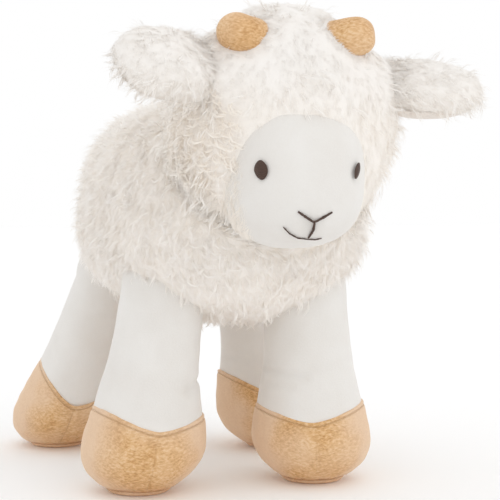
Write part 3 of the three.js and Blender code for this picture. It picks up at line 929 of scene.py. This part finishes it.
# %% A blade
def make_blade(cuts):
    """A closed cone of three sides, one unit tall, cut across at the heights in cuts."""
    start_clean()
    bpy.ops.mesh.primitive_cone_add(vertices=3, radius1=1, radius2=0, depth=1, location=(0, 0, 0.5),
                                    end_fill_type="NGON")
    bpy.ops.object.transform_apply(location=True, rotation=False, scale=False)
    bpy.ops.object.mode_set(mode="EDIT")
    for cut in cuts:
        bpy.ops.mesh.select_all(action="SELECT")
        bpy.ops.mesh.bisect(plane_co=(0, 0, cut), plane_no=(0, 0, 1))
    bpy.ops.object.mode_set(mode="OBJECT")
    return bpy.context.object


def bend_blade(blade, path, half_width):
    """Lays a blade along a path as a flat ribbon that ends in a point. path turns a share of the way,
    from 0 to 1, into a place in mm."""
    corners = points_of(blade)
    t = corners[:, 2].copy()
    around = corners[:, :2] / np.maximum(np.linalg.norm(corners[:, :2], axis=1), 1e-6)[:, None]
    wide = half_width * np.interp(t, [0, 0.3, 0.7, 1], [0.7, 1, 0.8, 0])
    ahead = path(t + 0.01) - path(t - 0.01)
    side = np.stack([-ahead[:, 1], ahead[:, 0], 0 * t], 1)
    side /= np.linalg.norm(side, axis=1)[:, None]
    places = path(t) + side * (1.15 * wide * around[:, 0])[:, None]
    places[:, 2] += 0.3 * wide * around[:, 1]
    put_points(blade, places * mm)
    write_value(blade, "tip", t)


# %% A tuft
def make_tuft(name, seed, blades, length, rise, spread, bend, cuts, half_width, draw=0.6):
    """Blades that start apart, lie over and draw together. bend is the turn on the way, in radians."""
    dice = random.Random(seed)
    parts = []
    for _ in range(blades):
        turned = dice.uniform(0, math.tau)
        root = spread * math.sqrt(dice.random()) * np.array([math.cos(turned), math.sin(turned)])
        tall = length * dice.uniform(0.7, 1.15)
        high = rise * dice.uniform(0.5, 1.3)
        turn_by = bend + dice.uniform(-0.25, 0.25)

        def path(t):
            heading = turn_by * t / 2
            x = root[0] + tall * t * np.cos(heading)
            y = root[1] * (1 - draw * t) + tall * t * np.sin(heading)
            return np.stack([x, y, high * (1 - np.exp(-3.2 * t)) - 0.4], 1)

        blade = make_blade(cuts)
        bend_blade(blade, path, half_width * dice.uniform(0.8, 1.25))
        parts.append(blade)
    tuft = joined(name, parts)
    tuft.data.materials.clear()
    tuft.data.materials.append(CURLY)
    return tuft


def tuft_box(name, rows):
    """A collection that holds the tufts of one kind of fur."""
    box = bpy.data.collections.new(name)
    bpy.context.scene.collection.children.link(box)
    for number, row in enumerate(rows):
        tuft = make_tuft(f"{name}_{number}", 10 * len(name) + number, *row)
        for home in tuft.users_collection:
            home.objects.unlink(tuft)
        box.objects.link(tuft)
    return box


# Each row: blades, length, rise, spread, bend, cuts and half width, and then how far they draw together.
LONG = tuft_box("long_tufts", [
    (8, 7.0, 2.3, 1.5, 0.2, (), 0.15),
    (8, 6.4, 2.7, 1.6, -0.3, (), 0.15),
    (8, 5.8, 1.9, 1.4, 0.4, (), 0.15),
])
SHORT = tuft_box("short_tufts", [
    (8, 5.2, 1.1, 1.5, 0.2, (), 0.14, 0.2),
    (8, 4.8, 1.3, 1.6, -0.3, (), 0.14, 0.2),
    (8, 4.3, 0.9, 1.4, 0.4, (), 0.14, 0.2),
])
WISPS = tuft_box("wisp_tufts", [
    (5, 8.0, 4.6, 0.9, 0.5, (0.4,), 0.14),
    (5, 7.2, 5.2, 0.9, -0.7, (0.4,), 0.14),
    (4, 6.6, 4.2, 0.8, 0.9, (0.4,), 0.14),
])
CURLS = tuft_box("curled_tufts", [
    (5, 9.0, 3.0, 1.0, 2.6, (0.3, 0.6), 0.15),
    (5, 8.0, 3.4, 1.1, -2.8, (0.3, 0.6), 0.15),
    (5, 7.0, 2.8, 0.9, 3.2, (0.3, 0.6), 0.15),
])
BRISTLES = tuft_box("bristle_tufts", [
    (5, 1.9, 0.8, 0.5, 0.3, (), 0.13),
    (5, 1.6, 1.0, 0.5, -0.3, (), 0.13),
])
TUFTS = (LONG, SHORT, WISPS, CURLS, BRISTLES)

# %% [markdown]
# ## Combing and growing
# The skin tells the tufts what to do. At each point it holds which way the fur is combed, how long it
# is ("pile") and how thick it stands ("here"). The tree below scatters points on the skin, turns one
# tuft on each to the comb, with a little disorder, and makes real meshes of them.


# %% The comb
def comb(piece, hang, swirl, swirl_size, seed):
    """Combs the fur along the skin towards hang, and turns it by a slow random angle."""
    places, normals = points_of(piece), normals_of(piece)
    along = hang - normals * np.sum(hang * normals, 1)[:, None]
    along /= np.maximum(np.linalg.norm(along, axis=1), 1e-6)[:, None]
    side = np.cross(normals, along)
    angle = (swirl * wavy(places, swirl_size, seed))[:, None]
    write_value(piece, "comb", along * np.cos(angle) + side * np.sin(angle))


# %% The tree that sets the tufts
LEAST_TURN, MOST_TURN = (-0.15, -0.16, -0.6), (0.15, 0.2, 0.6)
LEAST_SIZE, MOST_SIZE = 0.75, 1.2


def fur_tree(name, box, apart, seed):
    """Sets tufts from the box on a skin, apart metres from each other where the fur is thickest."""
    tree = bpy.data.node_groups.new(name, "GeometryNodeTree")
    for way in ("INPUT", "OUTPUT"):
        tree.interface.new_socket("Geometry", in_out=way, socket_type="NodeSocketGeometry")
    desk = Desk(tree)

    def held(kind, mark):
        return desk.node("GeometryNodeInputNamedAttribute", {"data_type": kind}, {"Name": mark})

    def dice(kind, least, most, number, out=0):
        values = {**least, **most, "Seed": seed + number}
        return desk.node("FunctionNodeRandomValue", {"data_type": kind}, values, out)

    skin = desk.node("NodeGroupInput")
    spots = desk.node("GeometryNodeDistributePointsOnFaces", {"distribute_method": "POISSON"},
                      {"Mesh": skin, "Distance Min": apart, "Density Max": 4 / apart**2,
                       "Density Factor": held("FLOAT", "here"), "Seed": seed}, out=None)
    upright = desk.node("FunctionNodeAlignRotationToVector", {"axis": "Z"},
                        {"Vector": Wire(tree, spots.outputs["Normal"])})
    combed = desk.node("FunctionNodeAlignRotationToVector", {"axis": "X", "pivot_axis": "Z"},
                       {"Rotation": upright, "Vector": held("FLOAT_VECTOR", "comb")})
    wobble = desk.node("FunctionNodeEulerToRotation", {},
                       {0: dice("FLOAT_VECTOR", {0: LEAST_TURN}, {1: MOST_TURN}, 1)})
    turned = desk.node("FunctionNodeRotateRotation", {"rotation_space": "LOCAL"},
                       {"Rotation": combed, "Rotate By": wobble})
    size = dice("FLOAT", {2: LEAST_SIZE}, {3: MOST_SIZE}, 2, out=1)
    pick = dice("INT", {4: 0}, {5: len(box.objects) - 1}, 3, out=2)
    tufts = desk.node("GeometryNodeCollectionInfo", {},
                      {"Collection": box, "Separate Children": True, "Reset Children": True})
    placed = desk.node("GeometryNodeInstanceOnPoints", {},
                       {"Points": Wire(tree, spots.outputs["Points"]), "Instance": tufts,
                        "Pick Instance": True, "Instance Index": pick, "Rotation": turned,
                        "Scale": size * held("FLOAT", "pile")})
    real = desk.node("GeometryNodeRealizeInstances", {}, {"Geometry": placed})
    desk.node("NodeGroupOutput", {}, {0: real}, out=None)
    return tree


# %% Growing
def grow(skin, name, box, apart, here, seed, body, finish=CURLY, slot="curly_fur"):
    """Grows a piece of fur on a skin, as thick as here says at each point, from 0 to 1."""
    start_clean()
    skin.select_set(True)
    bpy.context.view_layer.objects.active = skin
    bpy.ops.object.duplicate()
    wool = bpy.context.object
    wool.name = wool.data.name = name
    wool.parent = None
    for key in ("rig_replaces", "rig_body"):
        if key in wool:
            del wool[key]
    write_value(wool, "here", here)
    use_modifier(wool, "NODES", node_group=fur_tree(name, box, apart, seed))
    for extra in ("comb", "pile", "here"):
        held = wool.data.attributes.get(extra)
        if held:
            wool.data.attributes.remove(held)
    cover(wool, finish, slot, body, smooth=False)


# %% Places in and round the forms
def straight_head(places):
    """Places in the final frame, put back into the straight head, in mm."""
    back = np.array(SET_HEAD.inverted())
    return (places @ back[:3, :3].T + back[:3, 3]) / mm


def inside_form(places, centre, half, full, drop=0.0, grow_by=0.0):
    """Under 1 inside a stuffed form, over 1 outside. Places in mm."""
    local = (places - np.array(centre)) / (np.array(half) + grow_by)
    local[:, 2] -= drop * local[:, 1] / (half[2] + grow_by)
    return np.sum(np.abs(local) ** full, axis=1)


def under_legs(places):
    """True where a leg covers the body's skin. Places in the final frame."""
    hidden = np.zeros(len(places), bool)
    for foot, hip in LEGS.values():
        at = np.array([*hip, 0]) * mm + SLID
        away = np.hypot(places[:, 0] - at[0], places[:, 1] - at[1])
        hidden |= (away < 19 * mm) & (places[:, 2] < 125 * mm)
    return hidden


# %% [markdown]
# ## The body's fur
# It hangs down and a little back. Round the hollow it leans in to the head and grows longer, so that it
# closes the gap between the two. Underneath it is thinner, and none grows inside the hollow or where a
# leg covers the skin. The skin is split in four from chest to rump and in two sides, to keep each piece
# of fur small. Curled locks and stray wisps go over the even coat.

# %% How the body's fur lies
places = points_of(body_wool)
deep = inside_form(straight_head(places), HOOD_MIDDLE, HOOD_HALF, HOOD_FULL, grow_by=-2)
near_head = np.clip((1.35 - deep) / 0.3, 0, 1)
lean_in = np.array(SET_HEAD @ (Vector((0, -45, 176)) * mm)) - places
lean_in /= np.linalg.norm(lean_in, axis=1)[:, None]
share = near_head[:, None]
comb(body_wool, np.array([0.0, 0.25, -1.0]) * (1 - share) + 1.4 * lean_in * share, 0.9, 26 * mm, 40)
write_value(body_wool, "pile", 1.0 + 0.22 * wavy(places, 18 * mm, 41) + 0.6 * near_head)
underneath = np.clip((-0.45 - normals_of(body_wool)[:, 2]) / 0.3, 0, 1)
open_skin = ((deep > 0.9) & ~under_legs(places)) * (1 - 0.55 * underneath)
print("share of the body's skin that grows fur:", round(float(np.mean(open_skin > 0)), 2))

# %% The body's coat, locks and wisps
right_side = places[:, 0] < SLID[0]
SIDES = (("right", right_side), ("left", ~right_side))
quarters = np.searchsorted([-28 * mm, 12 * mm, 52 * mm], places[:, 1])
for number, part in enumerate(("chest", "shoulder", "flank", "rump")):
    for side, test in SIDES:
        grow(body_wool, f"wool_{part}_{side}", LONG, 1.3 * mm, open_skin * test * (quarters == number),
             50 + 2 * number + len(side), "body")
lip = (near_head > 0.25) & (near_head < 0.99)
# The lip's fur is painted darker and warmer: painted shade in the crevice between head and body.
grow(body_wool, "wool_lip", LONG, 1.5 * mm, open_skin * lip, 68, "body", PAINTED_SHADE_FUR)
locks = np.clip(1.6 * wavy(places, 24 * mm, 42) + 0.35, 0, 1)
thick = 0.55 + 0.45 * (near_head > 0.4)
for side, test in SIDES:
    grow(body_wool, f"locks_{side}", CURLS, 4.2 * mm, open_skin * test * locks, 60 + len(side), "body")
    grow(body_wool, f"wisps_{side}", WISPS, 2.6 * mm, open_skin * test * thick, 64 + len(side), "body")

# %% [markdown]
# ## The hood's fur
# It is shorter than the body's and hangs down too, but it leans to the horns and out along the ears,
# where it hides their roots. A short parting shows the seam on the forehead. The rim that touches the
# body has longer fur, and a few locks hang below the right ear.


# %% How the hood's fur lies
def to_horn(places, side):
    """The way from each place to the nearest point of a horn's axis, in the straight head, in mm."""
    root, tip = (np.array(end) for end in HORN_ENDS[side])
    share = np.clip((places - root) @ (tip - root) / ((tip - root) @ (tip - root)), 0, 1)
    return root + share[:, None] * (tip - root) - places


places = points_of(hood)
in_head, in_body = straight_head(places), (places - SLID) / mm
hang = np.array([0.0, 0.35, -1.0])
for side in HORN_ENDS:
    way = to_horn(in_head, side)
    away = np.linalg.norm(way, axis=1)
    pull = np.clip((18 - away) / 5, 0, 1)[:, None]
    hang = hang * (1 - pull) + 2 * pull * way / away[:, None]
for ear in EARS.values():
    away = np.linalg.norm(in_head - np.array(ear.hinge), axis=1)
    pull = np.clip((26 - away) / 10, 0, 1)[:, None]
    heading = math.radians(ear.heading + HEAD_TURN)
    hang = hang * (1 - pull) + pull * np.array([math.cos(heading), math.sin(heading), -0.4])
comb(hood, hang, 0.7, 22 * mm, 60)

# %% Where the hood's fur grows
BODY_FULL = 2.3
in_rim = inside_form(in_body, BODY_MIDDLE, BODY_HALF, BODY_FULL)
rim = (in_rim > 0.72) & (in_rim < 1.3)
write_value(hood, "pile", 1.0 + 0.2 * wavy(places, 15 * mm, 61) + 0.5 * rim)
buried = inside_form(in_body, BODY_MIDDLE, BODY_HALF, BODY_FULL, grow_by=-14) < 1
parting = (np.abs(in_head[:, 0] + 14) < 1.8) & (np.abs(in_head[:, 2] - 207) < 9) & (in_head[:, 1] < -50)
off_face = inside_form(in_head, FACE_MIDDLE, FACE_HALF, FACE_FULL, FACE_DROP) > 1
open_hood = off_face & ~buried & ~parting
print("share of the hood's skin that grows fur:", round(float(np.mean(open_hood)), 2))

# %% The hood's coat, rim and locks
front, left = in_head[:, 1] < -50, in_head[:, 0] >= 0
for part, test in (("front_left", front & left), ("front_right", front & ~left),
                   ("back_left", ~front & left), ("back_right", ~front & ~left)):
    grow(hood, f"hood_wool_{part}", SHORT, 1.35 * mm, open_hood & test, 70 + len(part), "head", HOOD_FUR)
cheeks = np.clip((np.abs(in_head[:, 0]) - 38) / 8, 0, 1) * np.clip((206 - in_head[:, 2]) / 8, 0, 1)
grow(hood, "hood_wisps", WISPS, 2.2 * mm, open_hood * (0.08 + 0.4 * cheeks), 76, "head", HOOD_FUR)
# The rim's fur is painted darker and warmer: painted shade where the hood meets the body.
grow(hood, "hood_rim", LONG, 1.4 * mm, open_hood & rim, 75, "head", PAINTED_SHADE_FUR)
away = np.min([np.linalg.norm(to_horn(in_head, side), axis=1) for side in HORN_ENDS], axis=0)
grow(hood, "horn_fringe", SHORT, 1.1 * mm, np.abs(away - 12) < 3, 78, "head", HOOD_FUR)
below_ear = np.linalg.norm(in_head - np.array((-50, -66, 178)), axis=1) < 24
# The locks below the ear are painted darker and warmer: painted shade under the ear.
grow(hood, "hood_locks", CURLS, 2.6 * mm, below_ear & open_hood, 77, "head", PAINTED_SHADE_FUR)

# %% [markdown]
# ## The cheeks' fur
# The hood's edge round the face is hidden by tufts that grow on the face's own skin, outside a rounded
# line. They are combed outwards and down.

# %% Cheek tufts
places = points_of(face)
in_head = straight_head(places)
above = in_head[:, 2] - 158
reach = (np.abs(in_head[:, 0] - 0.5) / 28.5) ** 2.4 + (np.abs(above) / np.where(above > 0, 60, 36.5)) ** 2.4
outwards = np.sign(in_head[:, 0])[:, None] * np.array([0.5, 0, 0]) + np.array([0, 0.3, -1])
comb(face, outwards, 0.5, 18 * mm, 77)
low_cheek = np.clip((-in_head[:, 0] - 14) / 8, 0, 1) * np.clip((150 - in_head[:, 2]) / 12, 0, 1)
write_value(face, "pile", 0.7 + 0.1 * wavy(places, 12 * mm, 78) + 0.35 * np.clip((reach - 1) / 0.5, 0, 1)
            + 0.4 * low_cheek)
edge = np.clip((reach - 1) / 0.12, 0, 1) * (in_head[:, 1] < -42) * (in_head[:, 2] > 112)
# The cheek tufts are painted darker and warmer: painted shade round the face.
grow(face, "cheek_tufts", SHORT, 1.1 * mm, edge, 79, "head", PAINTED_SHADE_FUR)

# %% [markdown]
# ## Fur on the ears, the tail and the hooves
# The ears have the hood's short fur with longer wisps at their edges, and tufts at the root that are
# combed back over the joint. The tail has the body's fur. A fine fuzz covers the seam where each hoof
# meets its sole.

# %% Ear fur
for side, ear in EARS.items():
    outer, body = bpy.data.objects[f"ear_wool_{side}"], f"ear_{side}"
    places = points_of(outer)
    comb(outer, np.array([ear.comb_out, 0.0, -0.7]), 0.8, 18 * mm, 80)
    write_value(outer, "pile", 1.0 + 0.25 * wavy(places, 12 * mm, 81))
    grow(outer, f"ear_tufts_{side}", SHORT, 1.4 * mm, np.ones(len(places)), 82, body, HOOD_FUR)
    fringe = np.clip(0.3 - normals_of(outer)[:, 2], 0, 0.5) + 0.12
    grow(outer, f"ear_wisps_{side}", WISPS, 2.2 * mm, fringe, 83, body, HOOD_FUR)
    from_hinge = np.linalg.norm(straight_head(places) - np.array(ear.hinge), axis=1)
    at_root = np.clip((24 - from_hinge) / 10, 0, 1)
    comb(outer, np.array([-ear.comb_out, -0.5, -0.1]), 0.5, 18 * mm, 84)
    write_value(outer, "pile", 0.75 + 0.5 * at_root)
    grow(outer, f"ear_root_{side}", LONG, 1.5 * mm, at_root, 85, body, HOOD_FUR)

# %% Tail fur
places = points_of(tail)
comb(tail, np.array([0.0, 0.3, -1.0]), 0.6, 18 * mm, 90)
write_value(tail, "pile", 0.9 + 0.2 * wavy(places, 12 * mm, 91))
grow(tail, "tail_tufts", LONG, 1.4 * mm, np.ones(len(places)), 92, "tail")
grow(tail, "tail_wisps", WISPS, 2.0 * mm, np.full(len(places), 0.6), 93, "tail")

# %% Hoof fuzz
for leg_name in LEGS:
    hoof = bpy.data.objects[f"hoof_{leg_name}"]
    places = points_of(hoof)
    comb(hoof, np.array([0.0, 0.0, -1.0]), 0.5, 6 * mm, 94)
    write_value(hoof, "pile", 1.0 + 0.2 * wavy(places, 8 * mm, 95))
    wall = normals_of(hoof)[:, 2] > -0.97
    rolled = (places[:, 2] > 1.0 * mm) & (places[:, 2] < 4.2 * mm) & wall
    grow(hoof, f"hoof_fuzz_{leg_name}", BRISTLES, 0.9 * mm, rolled, 96, f"leg_{leg_name}",
         HOOF, "tan_velour")

# %% Clearing away the tufts that were copied
for box in TUFTS:
    for tuft in list(box.objects):
        bpy.data.objects.remove(tuft)
    bpy.data.collections.remove(box)
print("collections left:", len(bpy.data.collections))

# %% [markdown]
# ## Floor, light and camera
# The toy was lit from all round, on white. A bright even sky gives that light. A broad soft sun from
# above adds a faint shadow under the feet, and a low one from the front brightens the face.

# %% Floor
start_clean()
bpy.ops.mesh.primitive_plane_add(size=16)
floor = bpy.context.object
floor.name = "floor"
floor_finish, desk = new_finish("pale_floor")
end_finish(desk, {"Base Color": (0.96, 0.96, 0.96, 1), "Roughness": 0.9})
floor.data.materials.append(floor_finish)
floor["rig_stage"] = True
print("floor:", floor.name)

# %% Light
sky = bpy.data.worlds.new("studio")
bpy.context.scene.world = sky
sky.use_nodes = True
desk = Desk(sky.node_tree)
light = desk.node("ShaderNodeBackground", {}, {"Color": (1, 1, 1, 1), "Strength": 1.0})
desk.node("ShaderNodeOutputWorld", {}, {"Surface": light}, out=None)
for tilt, energy, width in (((38, 8, 20), 0.20, 70), ((86, 0, 22), 0.27, 60)):
    bpy.ops.object.light_add(type="SUN", rotation=[math.radians(part) for part in tilt])
    sun = bpy.context.object
    sun.data.energy, sun.data.angle = energy, math.radians(width)
    print("sun:", sun.name, energy)
view = bpy.context.scene.view_settings
view.view_transform, view.look, view.exposure, view.gamma = "Standard", "None", 0.0, 1.0
bpy.context.scene.cycles.diffuse_bounces = 10

# %% Camera
PHOTO_SIDE, FOCAL_LENGTH, ASIDE = 500, 1269.41, 12.75
LOOKED_AT = (-5, 0, 122.1)
azimuth, elevation, far = math.radians(-18.19), math.radians(1.95), 650.11 * mm
back = Vector((math.sin(azimuth) * math.cos(elevation), -math.cos(azimuth) * math.cos(elevation),
               math.sin(elevation)))
bpy.ops.object.camera_add()
camera = bpy.context.object
camera.location = SLIDE @ (Vector(LOOKED_AT) * mm + back * far)
camera.rotation_euler = (-back).to_track_quat("-Z", "Y").to_euler()
camera.data.sensor_width = 36
camera.data.lens = FOCAL_LENGTH * 36 / PHOTO_SIDE
camera.data.shift_x = ASIDE / PHOTO_SIDE
bpy.context.scene.camera = camera
print("camera at, in mm:", [round(v / mm) for v in camera.location])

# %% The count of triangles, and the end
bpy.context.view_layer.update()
counts = [sum(len(face.vertices) - 2 for face in piece.data.polygons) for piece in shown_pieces()]
print("triangles in all:", sum(counts), "and in the largest piece:", max(counts))
